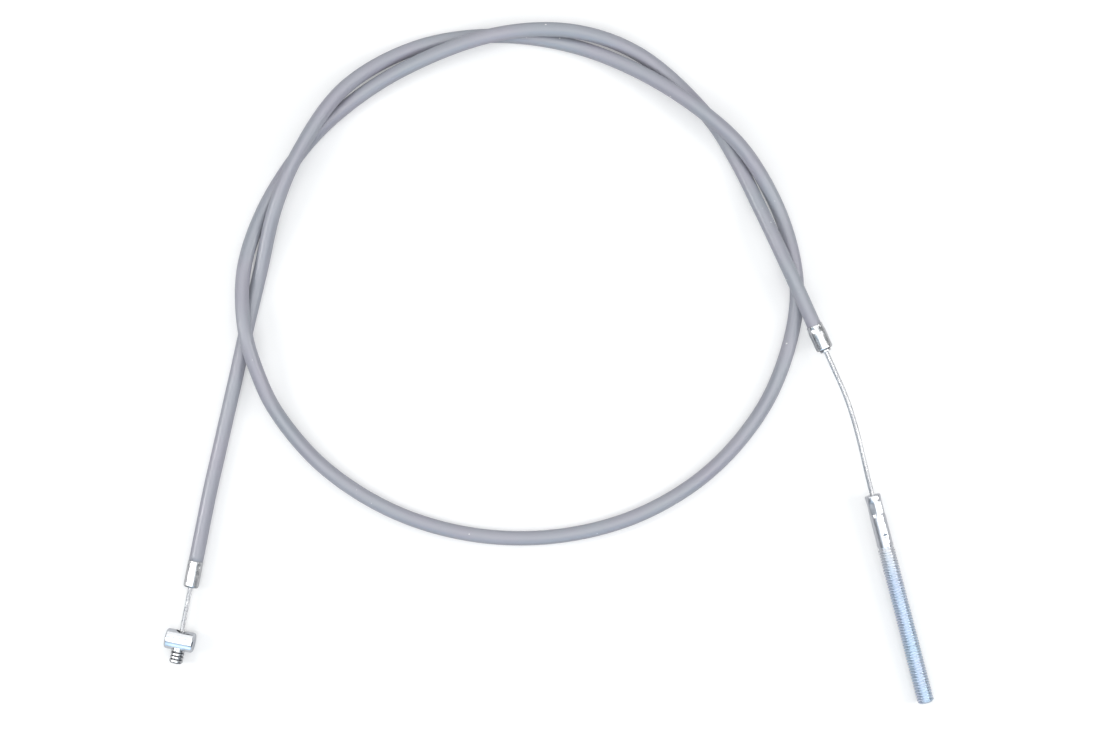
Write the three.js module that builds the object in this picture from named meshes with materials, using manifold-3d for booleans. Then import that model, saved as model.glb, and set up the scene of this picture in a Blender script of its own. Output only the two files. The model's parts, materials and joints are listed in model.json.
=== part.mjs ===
// Brake cable, laid on a table in one loop with its two ends apart.
// A grey plastic housing guides a stranded wire that slides in it. The wire ends in a barrel
// nipple on the lever side and in a long threaded rod on the brake side.
// Sizes are in millimetres, +X along the longest extent and +Z up from the table.

import * as THREE from "three";
import { mergeVertices } from "three/addons/utils/BufferGeometryUtils.js";
import Module from "manifold-3d";

const wasm = await Module();
wasm.setup();

// Wire and the layers of the housing around it
const WIRE_DIAMETER = 1.6;
const RUNNING_CLEARANCE = 0.09; // wire to liner
const LAYER_CLEARANCE = 0.08; // between two layers of the housing
const LINER_WALL = 0.2;
const CONDUIT_WALL = 0.5;
const SHEATH_WALL = 0.5;

// How finely the round pieces and the route are divided
const SHEATH_SIDES = 12;
const WIRE_SIDES = 8;
const TURNED_SIDES = 16;
const STATION_SPACING = 13;

// Ferrules
const SEAT_GAP = 0.3; // between pieces that touch end to end
const FERRULE_CLEARANCE = 0.1; // round what a ferrule is pressed over
const FERRULE_HOLE_CLEARANCE = 0.15; // wire to the hole in a ferrule's end wall
const FERRULE_END_WALL = 1.2;
const FERRULE_EDGE_RADIUS = 0.7;
const FERRULE_MOUTH_CHAMFER = 0.2;
const LEVER_FERRULE_LENGTH = 9.3;
const LEVER_FERRULE_WALL = 0.68;
const BRAKE_FERRULE_LENGTH = 10;
const BRAKE_FERRULE_WALL = 0.36;
const BRAKE_MOUTH_LENGTH = 3.2; // the part of the brake ferrule rolled in round the sheath
const BRAKE_MOUTH_WALL = 0.16;
const BRAKE_NOSE_DIAMETER = 3.9; // a short collar round the wire hole
const BRAKE_NOSE_LENGTH = 0.9;
const CRIMP_DENTS = 4; // round each ferrule
const CRIMP_DENT_RADIUS = 0.75;
const CRIMP_DENT_DEPTH = 0.1;
const CRIMP_DENT_PLACE = 2.2; // from the mouth

// Barrel nipple and the stop that the wire is pressed into
const LEVER_FREE_WIRE = 15.4; // from the ferrule to the barrel
const BARREL_DIAMETER = 7;
const BARREL_LENGTH = 10;
const BARREL_CHAMFER = 0.45;
const BARREL_WIRE_HOLE = 4;
const STOP_DIAMETER = 4.7;
const STOP_CLEARANCE = 0.15;
const STOP_SEAT_DEPTH = 3.4; // how far the stop reaches into the barrel
const STOP_PROUD = 4.5; // how far it stands out of the barrel
const STOP_RIBS = 3;
const STOP_RIB_PITCH = 1.2;
const STOP_RIB_DEPTH = 0.4;
const STOP_END_CHAMFER = 0.5;
const CRIMP_CLEARANCE = 0.1; // round a wire end that is pressed in
const STOP_END_WALL = 0.9;

// Threaded rod: a hollow shank crimped on the wire, then an M6 x 1 thread
const THREAD_DIAMETER = 5.9;
const THREAD_ROOT_DIAMETER = 4.78;
const THREAD_PITCH = 1;
const THREAD_LENGTH = 56;
const THREAD_END_DIAMETER = 4.6;
const THREAD_SIDES = 12;
const SHANK_DIAMETER = 5.5;
const SHANK_LENGTH = 19;
const SHANK_CHAMFER = 0.35;
const SHANK_BORE_DEPTH = 15;
const HEX_CRIMP_START = 1; // from the mouth
const HEX_CRIMP_LENGTH = 7;
const HEX_CRIMP_ACROSS = 5.05; // across its flats
const JAW_MARK_PLACES = [9.2, 14.6, 18]; // from the mouth
const JAW_MARK_DEPTH = 0.32;
const JAW_MARK_RADIUS = 1;

// Travel of the wire. The straight stretch of bore behind each ferrule has room for it.
const LEVER_STROKE = 12;
const LEVER_RETURN = 15;
const LEAST_ENGAGEMENT = 3;
const BORE_SPARE = 0.5;

// The route of the housing's centreline, from the lever end to the brake end. Its first and
// last two points are the ends of straight stretches. Where the two passes of the loop
// cross, one lies on the table and the other rides over it in a long low hump.
const LEVER_STRAIGHT = [
  [-125.4, -78.1, 3.3],
  [-119.4, -47.5, 2.7],
];
const ROUTE = [
  [-114.5, -25.8, 2.6],
  [-110.0, -6.1, 2.6],
  [-106.1, 11.5, 2.6],
  [-101.0, 32.9, 2.7],
  [-95.6, 53.8, 6.5],
  [-87.7, 72.4, 8.0],
  [-71.6, 95.9, 6.0],
  [-46.9, 110.6, 2.7],
  [-19.3, 114.9, 2.6],
  [7.6, 111.5, 2.7],
  [32.5, 101.4, 5.3],
  [55.2, 86.2, 8.0],
  [68.8, 73.0, 6.9],
  [81.9, 49.8, 2.8],
  [86.7, 27.6, 2.6],
  [84.5, 8.4, 2.6],
  [75.1, -15.1, 2.6],
  [56.3, -37.5, 2.6],
  [31.4, -52.9, 2.6],
  [2.9, -60.3, 2.6],
  [-26.7, -59.8, 2.6],
  [-54.9, -51.5, 2.6],
  [-79.4, -35.7, 2.9],
  [-95.5, -16.5, 4.4],
  [-101.7, -3.0, 6.3],
  [-105.7, 11.4, 8.0],
  [-106.6, 32.1, 5.3],
  [-100.5, 52.7, 2.7],
  [-88.3, 72.7, 2.6],
  [-75.5, 86.5, 2.6],
  [-53.0, 101.8, 4.7],
  [-19.3, 114.3, 8.0],
  [8.5, 115.9, 6.0],
  [31.9, 108.1, 2.8],
  [55.4, 86.8, 2.6],
  [65.4, 71.4, 2.7],
  [73.4, 54.6, 5.4],
];
const BRAKE_STRAIGHT = [
  [83.4, 32.6, 8.2],
  [96.3, 4.3, 7.2],
];
// The free wire curves from the brake ferrule to the mouth of the rod.
const ROD_MOUTH = [112.7, -45.8, 5.5];
const ROD_HEADING = [19.2, -72.7, -2.35];
const WIRE_CURVE_STEPS = 8;

const UP = new THREE.Vector3(0, 0, 1);
const LATHE_AXIS = new THREE.Vector3(0, 1, 0);

// A round surface with few sides is measured to its corners. This is the corner radius
// whose flats stay clear of a piece of the given radius.
function boreRound(radius, clearance, sides) {
  return (radius + clearance) / Math.cos(Math.PI / sides);
}

const wireRadius = WIRE_DIAMETER / 2;
const linerBore = boreRound(wireRadius, RUNNING_CLEARANCE, WIRE_SIDES);
const linerRadius = linerBore + LINER_WALL;
const conduitBore = boreRound(linerRadius, LAYER_CLEARANCE, WIRE_SIDES);
const conduitRadius = conduitBore + CONDUIT_WALL;
const sheathBore = boreRound(conduitRadius, LAYER_CLEARANCE, SHEATH_SIDES);
const sheathRadius = sheathBore + SHEATH_WALL;
const barrelRadius = BARREL_DIAMETER / 2;
const stopRadius = STOP_DIAMETER / 2;
const ferruleHole = boreRound(wireRadius, FERRULE_HOLE_CLEARANCE, TURNED_SIDES);

const plasticGrey = new THREE.MeshStandardMaterial({ color: 0x9a9ca6, roughness: 0.45, metalness: 0 });
const linerWhite = new THREE.MeshStandardMaterial({ color: 0xd8d8d2, roughness: 0.5, metalness: 0 });
const springSteel = new THREE.MeshStandardMaterial({ color: 0x8c8f93, roughness: 0.4, metalness: 1 });
const wireSteel = new THREE.MeshStandardMaterial({ color: 0xa9abae, roughness: 0.35, metalness: 1 });
const nickelPlate = new THREE.MeshStandardMaterial({ color: 0xc9c9c6, roughness: 0.28, metalness: 1 });
const zincPlate = new THREE.MeshStandardMaterial({ color: 0xb9c6d2, roughness: 0.25, metalness: 1 });

function vector(coordinates) {
  return new THREE.Vector3(...coordinates);
}

// A path through given stations with a given heading at each, so that tubes on any stretch
// of it share the same chords.
class StationPath extends THREE.Curve {
  constructor(stations) {
    super();
    this.stations = stations;
  }

  getPoint(t, target = new THREE.Vector3()) {
    const place = t * (this.stations.length - 1);
    const before = Math.min(Math.floor(place), this.stations.length - 2);
    const [a, b] = [this.stations[before].point, this.stations[before + 1].point];
    return target.lerpVectors(a, b, place - before);
  }

  getSpacedPoints() {
    return this.stations.map((station) => station.point);
  }

  getTangentAt(u, target = new THREE.Vector3()) {
    return target.copy(this.stations[Math.round(u * (this.stations.length - 1))].heading);
  }
}

function station(point, heading) {
  return { point: point.clone(), heading: heading.clone().normalize() };
}

function ring(radius, sides, bore) {
  const shape = new THREE.Shape(corners(radius, sides));
  if (bore) {
    shape.holes.push(new THREE.Path(corners(bore, sides).reverse()));
  }
  return shape;
}

function corners(radius, sides) {
  const points = [];
  for (let i = 0; i < sides; i++) {
    const angle = (2 * Math.PI * i) / sides;
    points.push(new THREE.Vector2(radius * Math.cos(angle), radius * Math.sin(angle)));
  }
  return points;
}

function tube(name, stations, radius, sides, bore, material) {
  const geometry = new THREE.ExtrudeGeometry(ring(radius, sides, bore), {
    steps: stations.length - 1,
    extrudePath: new StationPath(stations),
  });
  return named(name, geometry, material);
}

function named(name, geometry, material) {
  const mesh = new THREE.Mesh(geometry, material);
  mesh.name = name;
  return mesh;
}

// Turned pieces are revolved about +Y and then stood on their axis in the cable.
function turned(profile, sides = TURNED_SIDES) {
  const points = profile.map(([radius, height]) => new THREE.Vector2(radius, height));
  return new THREE.LatheGeometry(points, sides);
}

function standOn(mesh, point, axis) {
  mesh.position.copy(point);
  mesh.quaternion.setFromUnitVectors(LATHE_AXIS, axis);
  return mesh;
}

// Points of a quarter round from a wall of the given radius to the end face at the height.
function roundedEdge(radius, height, edge, steps = 3) {
  const points = [];
  for (let i = 0; i <= steps; i++) {
    const angle = (Math.PI / 2) * (i / steps);
    points.push([radius - edge + edge * Math.cos(angle), height - edge + edge * Math.sin(angle)]);
  }
  return points;
}

function solid(geometry) {
  const bare = geometry.clone();
  bare.deleteAttribute("normal");
  bare.deleteAttribute("uv");
  const merged = mergeVertices(bare, 1e-4);
  const corner = merged.getIndex().array;
  const triangles = [];
  for (let i = 0; i < corner.length; i += 3) {
    const [a, b, c] = [corner[i], corner[i + 1], corner[i + 2]];
    if (a !== b && b !== c && c !== a) {
      triangles.push(a, b, c);
    }
  }
  return new wasm.Manifold(
    new wasm.Mesh({
      numProp: 3,
      vertProperties: new Float32Array(merged.getAttribute("position").array),
      triVerts: new Uint32Array(triangles),
    }),
  );
}

function surface(manifold) {
  const mesh = manifold.getMesh();
  const geometry = new THREE.BufferGeometry();
  geometry.setAttribute("position", new THREE.BufferAttribute(mesh.vertProperties, 3));
  geometry.setIndex(new THREE.BufferAttribute(mesh.triVerts, 1));
  const faceted = geometry.toNonIndexed();
  faceted.computeVertexNormals();
  return faceted;
}

function cut(geometry, cutters) {
  const result = cutters.reduce((left, cutter) => left.subtract(solid(cutter)), solid(geometry));
  return surface(result);
}

// Shallow dents round a turned piece, each from a short radial pin pushed into it.
function crimpDents(radius, height) {
  const dents = [];
  for (let i = 0; i < CRIMP_DENTS; i++) {
    const pin = new THREE.SphereGeometry(CRIMP_DENT_RADIUS, 8, 6);
    pin.translate(radius + CRIMP_DENT_RADIUS - CRIMP_DENT_DEPTH, height, 0);
    pin.rotateY((2 * Math.PI * (i + 0.5)) / CRIMP_DENTS);
    dents.push(pin);
  }
  return dents;
}

// Route of the housing

const leverFace = vector(LEVER_STRAIGHT[0]);
const leverBend = vector(LEVER_STRAIGHT[1]);
const leverAxis = leverFace.clone().sub(leverBend).normalize();
const brakeBend = vector(BRAKE_STRAIGHT[0]);
const brakeFace = vector(BRAKE_STRAIGHT[1]);
const brakeAxis = brakeFace.clone().sub(brakeBend).normalize();

function routeStations() {
  const points = [leverFace, leverBend, ...ROUTE.map(vector), brakeBend, brakeFace];
  const curve = new THREE.CatmullRomCurve3(points);
  curve.arcLengthDivisions = 4000;
  const total = curve.getLength();
  const first = leverFace.distanceTo(leverBend) / total;
  const last = 1 - brakeFace.distanceTo(brakeBend) / total;
  const steps = Math.round(((last - first) * total) / STATION_SPACING);
  const stations = [station(leverBend, leverAxis.clone().negate())];
  for (let i = 1; i < steps; i++) {
    const u = first + ((last - first) * i) / steps;
    stations.push(station(curve.getPointAt(u), curve.getTangentAt(u)));
  }
  stations.push(station(brakeBend, brakeAxis));
  return stations;
}

const bendStations = routeStations();

function beside(face, axis, distance) {
  return face.clone().addScaledVector(axis, distance);
}

// The layers of the housing stop short of a ferrule's end wall or of its mouth.
function housingStations(leverStop, brakeStop) {
  return [
    station(beside(leverFace, leverAxis, -leverStop), leverAxis.clone().negate()),
    ...bendStations,
    station(beside(brakeFace, brakeAxis, -brakeStop), brakeAxis),
  ];
}

const endWallStop = FERRULE_END_WALL + SEAT_GAP;

function outerSheath() {
  const stations = housingStations(LEVER_FERRULE_LENGTH + SEAT_GAP, endWallStop);
  return tube("outer_sheath", stations, sheathRadius, SHEATH_SIDES, sheathBore, plasticGrey);
}

function woundConduit() {
  const stations = housingStations(endWallStop, endWallStop);
  return tube("wound_conduit", stations, conduitRadius, WIRE_SIDES, conduitBore, springSteel);
}

function innerLiner() {
  const stations = housingStations(endWallStop, endWallStop);
  return tube("inner_liner", stations, linerRadius, WIRE_SIDES, linerBore, linerWhite);
}

// Ferrules

function leverFerrule() {
  const bore = boreRound(conduitRadius, FERRULE_CLEARANCE, TURNED_SIDES);
  const radius = bore + LEVER_FERRULE_WALL;
  const floor = LEVER_FERRULE_LENGTH - FERRULE_END_WALL;
  const profile = [
    [bore, 0],
    [radius - FERRULE_MOUTH_CHAMFER, 0],
    [radius, FERRULE_MOUTH_CHAMFER],
    ...roundedEdge(radius, LEVER_FERRULE_LENGTH, FERRULE_EDGE_RADIUS),
    [ferruleHole, LEVER_FERRULE_LENGTH],
    [ferruleHole, floor],
    [bore, floor],
    [bore, 0],
  ];
  const geometry = cut(turned(profile), crimpDents(radius, CRIMP_DENT_PLACE));
  const mouth = beside(leverFace, leverAxis, -LEVER_FERRULE_LENGTH);
  return standOn(named("lever_ferrule", geometry, nickelPlate), mouth, leverAxis);
}

function brakeFerrule() {
  const bore = boreRound(sheathRadius, FERRULE_CLEARANCE, TURNED_SIDES);
  const radius = bore + BRAKE_FERRULE_WALL;
  const rolled = bore + BRAKE_MOUTH_WALL;
  const floor = BRAKE_FERRULE_LENGTH - FERRULE_END_WALL;
  const nose = BRAKE_NOSE_DIAMETER / 2;
  const shoulder = BRAKE_FERRULE_LENGTH - BRAKE_NOSE_LENGTH;
  const profile = [
    [bore, 0],
    [rolled, 0],
    [rolled, BRAKE_MOUTH_LENGTH / 3],
    [radius, BRAKE_MOUTH_LENGTH],
    ...roundedEdge(radius, shoulder, FERRULE_EDGE_RADIUS),
    [nose, shoulder],
    [nose, BRAKE_FERRULE_LENGTH - FERRULE_MOUTH_CHAMFER],
    [nose - FERRULE_MOUTH_CHAMFER, BRAKE_FERRULE_LENGTH],
    [ferruleHole, BRAKE_FERRULE_LENGTH],
    [ferruleHole, floor],
    [bore, floor],
    [bore, 0],
  ];
  const geometry = cut(turned(profile), crimpDents(rolled, BRAKE_MOUTH_LENGTH / 3));
  const mouth = beside(brakeFace, brakeAxis, -BRAKE_FERRULE_LENGTH);
  return standOn(named("brake_ferrule", geometry, nickelPlate), mouth, brakeAxis);
}

// Wire, in the stretch that stays in the bends and the two runs that slide in straight bore

function housedWire() {
  return tube("inner_wire_housed", bendStations, wireRadius, WIRE_SIDES, 0, wireSteel);
}

const barrelCentre = beside(leverFace, leverAxis, LEVER_FREE_WIRE + barrelRadius);
const stopSeat = barrelRadius - STOP_SEAT_DEPTH;
const stopLength = STOP_SEAT_DEPTH + STOP_PROUD;

function leverWire() {
  const inside = beside(leverFace, leverAxis, -(LEVER_STROKE + LEAST_ENGAGEMENT));
  const reach = stopSeat + stopLength - STOP_END_WALL - SEAT_GAP;
  const outside = beside(barrelCentre, leverAxis, reach);
  const stations = [station(inside, leverAxis), station(outside, leverAxis)];
  return tube("inner_wire_lever_run", stations, wireRadius, WIRE_SIDES, 0, wireSteel);
}

const rodMouth = vector(ROD_MOUTH);
const rodAxis = vector(ROD_HEADING).normalize();

function brakeWire() {
  const inside = beside(brakeFace, brakeAxis, -(LEVER_RETURN + LEAST_ENGAGEMENT));
  const bend = beside(brakeFace, brakeAxis, LEVER_STROKE + BORE_SPARE);
  const pull = bend.distanceTo(rodMouth) / 3;
  const curve = new THREE.CubicBezierCurve3(
    bend,
    beside(bend, brakeAxis, pull),
    beside(rodMouth, rodAxis, -pull),
    rodMouth,
  );
  const stations = [station(inside, brakeAxis)];
  for (let i = 0; i <= WIRE_CURVE_STEPS; i++) {
    const u = i / WIRE_CURVE_STEPS;
    stations.push(station(curve.getPointAt(u), curve.getTangentAt(u)));
  }
  const seated = beside(rodMouth, rodAxis, SHANK_BORE_DEPTH - SEAT_GAP);
  stations.push(station(seated, rodAxis));
  return tube("inner_wire_brake_run", stations, wireRadius, WIRE_SIDES, 0, wireSteel);
}

// Barrel nipple, with a hole across it for the wire and a wider seat for the stop

function barrelNipple() {
  const half = BARREL_LENGTH / 2;
  const profile = [
    [0, -half],
    [barrelRadius - BARREL_CHAMFER, -half],
    [barrelRadius, -half + BARREL_CHAMFER],
    [barrelRadius, half - BARREL_CHAMFER],
    [barrelRadius - BARREL_CHAMFER, half],
    [0, half],
  ];
  const through = BARREL_DIAMETER + 2;
  const wireHole = new THREE.CylinderGeometry(
    BARREL_WIRE_HOLE / 2,
    BARREL_WIRE_HOLE / 2,
    through,
    TURNED_SIDES,
  );
  wireHole.rotateX(Math.PI / 2);
  const seatRadius = boreRound(stopRadius, STOP_CLEARANCE, TURNED_SIDES);
  const seat = new THREE.CylinderGeometry(seatRadius, seatRadius, through, TURNED_SIDES);
  seat.rotateX(Math.PI / 2);
  seat.translate(0, 0, stopSeat - SEAT_GAP + through / 2);
  const geometry = cut(turned(profile, 2 * TURNED_SIDES), [wireHole, seat]);
  const mesh = named("barrel_nipple", geometry, zincPlate);
  const across = new THREE.Vector3().crossVectors(leverAxis, UP).normalize();
  const over = new THREE.Vector3().crossVectors(across, leverAxis);
  mesh.position.copy(barrelCentre);
  mesh.quaternion.setFromRotationMatrix(new THREE.Matrix4().makeBasis(over, across, leverAxis));
  return mesh;
}

function wireStop() {
  const groove = stopRadius - STOP_RIB_DEPTH;
  const bore = boreRound(wireRadius, CRIMP_CLEARANCE, TURNED_SIDES);
  const profile = [
    [bore, 0],
    [stopRadius, 0],
  ];
  const ribsEnd = stopLength - STOP_END_CHAMFER;
  for (let i = STOP_RIBS - 1; i >= 0; i--) {
    const top = ribsEnd - i * STOP_RIB_PITCH;
    profile.push([stopRadius, top - STOP_RIB_PITCH]);
    profile.push([groove, top - 0.75 * STOP_RIB_PITCH]);
    profile.push([stopRadius, top - 0.5 * STOP_RIB_PITCH]);
  }
  profile.push([stopRadius, ribsEnd]);
  profile.push([stopRadius - STOP_END_CHAMFER, stopLength]);
  profile.push([0, stopLength]);
  profile.push([0, stopLength - STOP_END_WALL]);
  profile.push([bore, stopLength - STOP_END_WALL]);
  profile.push([bore, 0]);
  const mesh = named("wire_stop", turned(profile), nickelPlate);
  return standOn(mesh, beside(barrelCentre, leverAxis, stopSeat), leverAxis);
}

// Threaded rod. The thread is a revolved sawtooth whose rows are then slid along the axis by
// one pitch a turn, which turns its rings into one helix. Rows that would pass either end
// of the thread are held there at the root, so that the thread runs out.

function threadedRod() {
  const crest = THREAD_DIAMETER / 2;
  const root = THREAD_ROOT_DIAMETER / 2;
  const end = THREAD_END_DIAMETER / 2;
  const shank = SHANK_DIAMETER / 2;
  const length = THREAD_LENGTH + SHANK_LENGTH;
  const bore = boreRound(wireRadius, CRIMP_CLEARANCE, THREAD_SIDES);
  const turns = Math.round(THREAD_LENGTH / THREAD_PITCH);
  const profile = [[0, 0]];
  for (let turn = -1; turn <= turns; turn++) {
    profile.push([root, turn * THREAD_PITCH]);
    profile.push([crest, (turn + 0.5) * THREAD_PITCH]);
  }
  const threadRows = profile.length;
  profile.push([root, THREAD_LENGTH]);
  profile.push([shank, THREAD_LENGTH + crest - root]);
  profile.push([shank, length - SHANK_CHAMFER]);
  profile.push([shank - SHANK_CHAMFER, length]);
  profile.push([bore, length]);
  profile.push([bore, length - SHANK_BORE_DEPTH]);
  profile.push([0, length - SHANK_BORE_DEPTH]);
  const geometry = turned(profile, THREAD_SIDES);
  const position = geometry.getAttribute("position");
  const rows = profile.length;
  for (let i = 0; i < position.count; i++) {
    const row = i % rows;
    if (row === 0 || row >= threadRows) {
      continue;
    }
    const turn = Math.floor(i / rows) / THREAD_SIDES;
    const height = position.getY(i) + turn * THREAD_PITCH;
    const held = THREE.MathUtils.clamp(height, 0, THREAD_LENGTH);
    const radius = Math.hypot(position.getX(i), position.getZ(i));
    const leadIn = end + held;
    const runOut = root + (THREAD_LENGTH - held);
    const limited = Math.min(radius, leadIn, runOut);
    position.setXYZ(
      i,
      (position.getX(i) * limited) / radius,
      held,
      (position.getZ(i) * limited) / radius,
    );
  }
  const marks = [...hexCrimp(length), ...jawMarks(length, shank)];
  const mesh = named("threaded_rod", cut(geometry, marks), zincPlate);
  return standOn(mesh, beside(rodMouth, rodAxis, length), rodAxis.clone().negate());
}

// The shank is pressed to six sides round the wire, next to its mouth.
function hexCrimp(length) {
  const apothem = HEX_CRIMP_ACROSS / 2;
  const presses = [];
  for (let i = 0; i < 6; i++) {
    const press = new THREE.BoxGeometry(apothem, HEX_CRIMP_LENGTH, 2 * apothem);
    press.translate(1.5 * apothem, length - HEX_CRIMP_START - HEX_CRIMP_LENGTH / 2, 0);
    press.rotateY(((i + 0.5) * Math.PI) / 3);
    presses.push(press);
  }
  return presses;
}

// Marks of the crimping jaws on the shank, pairs of hollows on opposite sides.
function jawMarks(length, shank) {
  const marks = [];
  JAW_MARK_PLACES.forEach((place, i) => {
    for (const side of [1, -1]) {
      const jaw = new THREE.CylinderGeometry(JAW_MARK_RADIUS, JAW_MARK_RADIUS, 4 * shank, TURNED_SIDES);
      jaw.rotateX(Math.PI / 2);
      jaw.translate(side * (shank + JAW_MARK_RADIUS - JAW_MARK_DEPTH), length - place, 0);
      jaw.rotateY((i * Math.PI) / JAW_MARK_PLACES.length);
      marks.push(jaw);
    }
  });
  return marks;
}

const cable = new THREE.Group();
cable.name = "brake_cable";
cable.add(
  outerSheath(),
  woundConduit(),
  innerLiner(),
  leverFerrule(),
  brakeFerrule(),
  housedWire(),
  leverWire(),
  brakeWire(),
  barrelNipple(),
  wireStop(),
  threadedRod(),
);

// The origin is in the middle of the footprint, on the surface that the cable lies on.
const extent = new THREE.Box3().setFromObject(cable, true);
const middle = extent.getCenter(new THREE.Vector3());
cable.position.set(-middle.x, -middle.y, -extent.min.z);

export default cable;
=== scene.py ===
# Looks of a brake cable that lies on a table in one loop: a grey plastic housing with a pressed
# metal cap on each end, a stranded wire that slides in it, a barrel nipple on the lever end and
# a long threaded rod on the brake end.

import json
import math

import bmesh
import bpy
import numpy as np
from mathutils import Matrix, Vector


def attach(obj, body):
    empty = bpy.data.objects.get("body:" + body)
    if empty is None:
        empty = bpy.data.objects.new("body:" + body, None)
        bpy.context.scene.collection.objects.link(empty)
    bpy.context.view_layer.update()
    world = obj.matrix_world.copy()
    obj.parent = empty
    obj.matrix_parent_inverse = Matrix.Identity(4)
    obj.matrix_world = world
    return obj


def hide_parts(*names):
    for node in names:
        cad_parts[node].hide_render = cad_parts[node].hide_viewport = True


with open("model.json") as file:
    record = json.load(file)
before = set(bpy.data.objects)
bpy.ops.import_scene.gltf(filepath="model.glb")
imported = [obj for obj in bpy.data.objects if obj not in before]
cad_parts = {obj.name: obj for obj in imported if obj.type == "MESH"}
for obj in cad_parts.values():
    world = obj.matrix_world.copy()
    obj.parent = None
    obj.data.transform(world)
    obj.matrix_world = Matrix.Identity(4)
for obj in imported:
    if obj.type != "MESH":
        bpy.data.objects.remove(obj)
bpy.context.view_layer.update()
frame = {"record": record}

MM = 0.001
UP = Vector((0, 0, 1))

# Camera: it looks straight down from where the photograph was taken
PHOTO_WIDTH = 1100
FOCAL_PIXELS = 2000
SENSOR_WIDTH = 36
CAMERA_PLACE = (0.00031, -0.00091, 0.703)

# Layers of the housing and the wire in it, as radii
WIRE_RADIUS = 0.8 * MM
LINER = (0.97 * MM, 1.17 * MM)
CONDUIT = (1.35 * MM, 1.85 * MM)
SHEATH = (2.0 * MM, 2.5 * MM)
OUTER_STRANDS = 12
STRAND_LAY = 14.4 * MM  # length in which a strand goes once round the wire

# Pressed caps
HOLE_RADIUS = 0.97 * MM
END_WALL = 1.2 * MM
CAP_SIDES = 96
CAP_STEP = 0.22 * MM  # between the rings of points along a cap
LEVER_CAP_LENGTH = 9.3 * MM
LEVER_CAP_BORE = 1.98 * MM
LEVER_CAP_RADIUS = 2.66 * MM
LEVER_CAP_DENTS_ROUND = 4
LEVER_CAP_DENTS = (  # depth, half angle, height above the mouth, half length
    (0.2 * MM, 0.32, 1.6 * MM, 1.3 * MM),
    (0.12 * MM, 0.2, 4.6 * MM, 1.6 * MM),
)
BRAKE_CAP_LENGTH = 10 * MM
BRAKE_CAP_BORE = 2.64 * MM
BRAKE_CAP_RADIUS = 3.0 * MM
BRAKE_CAP_MOUTH_RADIUS = 2.8 * MM
BRAKE_CAP_MOUTH_END = 1.1 * MM
BRAKE_CAP_FULL_FROM = 2.6 * MM
BRAKE_CAP_NOSE_RADIUS = 1.95 * MM
BRAKE_CAP_NOSE_LENGTH = 0.9 * MM
BRAKE_CAP_DENTS_ROUND = 6
BRAKE_CAP_DENTS = (  # as for the lever cap
    (0.13 * MM, 0.3, 1.2 * MM, 1.1 * MM),
    (0.07 * MM, 0.34, 5.4 * MM, 2.9 * MM),
)

# Barrel nipple and the stop in it
LEVER_FREE_WIRE = 15.4 * MM
BARREL_RADIUS = 3.5 * MM
BARREL_LENGTH = 10 * MM
BARREL_CHAMFER = 0.45 * MM
BARREL_BROKEN_EDGE = 0.1 * MM  # round the holes
BARREL_WIRE_HOLE_RADIUS = 2 * MM
STOP_RADIUS = 2.35 * MM
STOP_BORE_RADIUS = 0.92 * MM
STOP_CHAMFER = 0.5 * MM
STOP_SEAT_RADIUS = 2.5 * MM
STOP_SEAT_DEPTH = 3.4 * MM
STOP_LENGTH = 7.9 * MM
STOP_END_WALL = 0.9 * MM
STOP_RIBS = 3
STOP_RIB_PITCH = 1.2 * MM
STOP_RIB_DEPTH = 0.4 * MM
SEAT_GAP = 0.3 * MM

# Threaded rod
CREST_RADIUS = 2.95 * MM
ROOT_RADIUS = 2.39 * MM
TIP_RADIUS = 2.3 * MM
PITCH = 1 * MM
THREAD_LENGTH = 56 * MM
SHANK_RADIUS = 2.75 * MM
SHANK_LENGTH = 19 * MM
SHANK_BORE_RADIUS = 0.93 * MM
SHANK_BORE_DEPTH = 15 * MM
HEX_CRIMP_START = 1 * MM  # from the mouth
HEX_CRIMP_LENGTH = 7 * MM
HEX_CRIMP_ACROSS = 5.05 * MM
JAW_MARKS = ((9.2 * MM, 0.9), (14.6 * MM, 0.2), (18 * MM, 0.7))  # from the mouth, and turned by
JAW_MARK_DEPTH = 0.35 * MM
JAW_MARK_HALF_ANGLE = 0.42
JAW_MARK_HALF_LENGTH = 0.8 * MM

# How far the wire slides, which the straight bore behind each cap has room for
LEVER_STROKE = 12 * MM
LEVER_RETURN = 15 * MM
LEAST_ENGAGEMENT = 3 * MM
BORE_SPARE = 0.5 * MM

# Distance between the points along the housing's layers and along the free wires
HOUSING_SPACING = 1.5 * MM
WIRE_SPACING = 0.4 * MM

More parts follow.
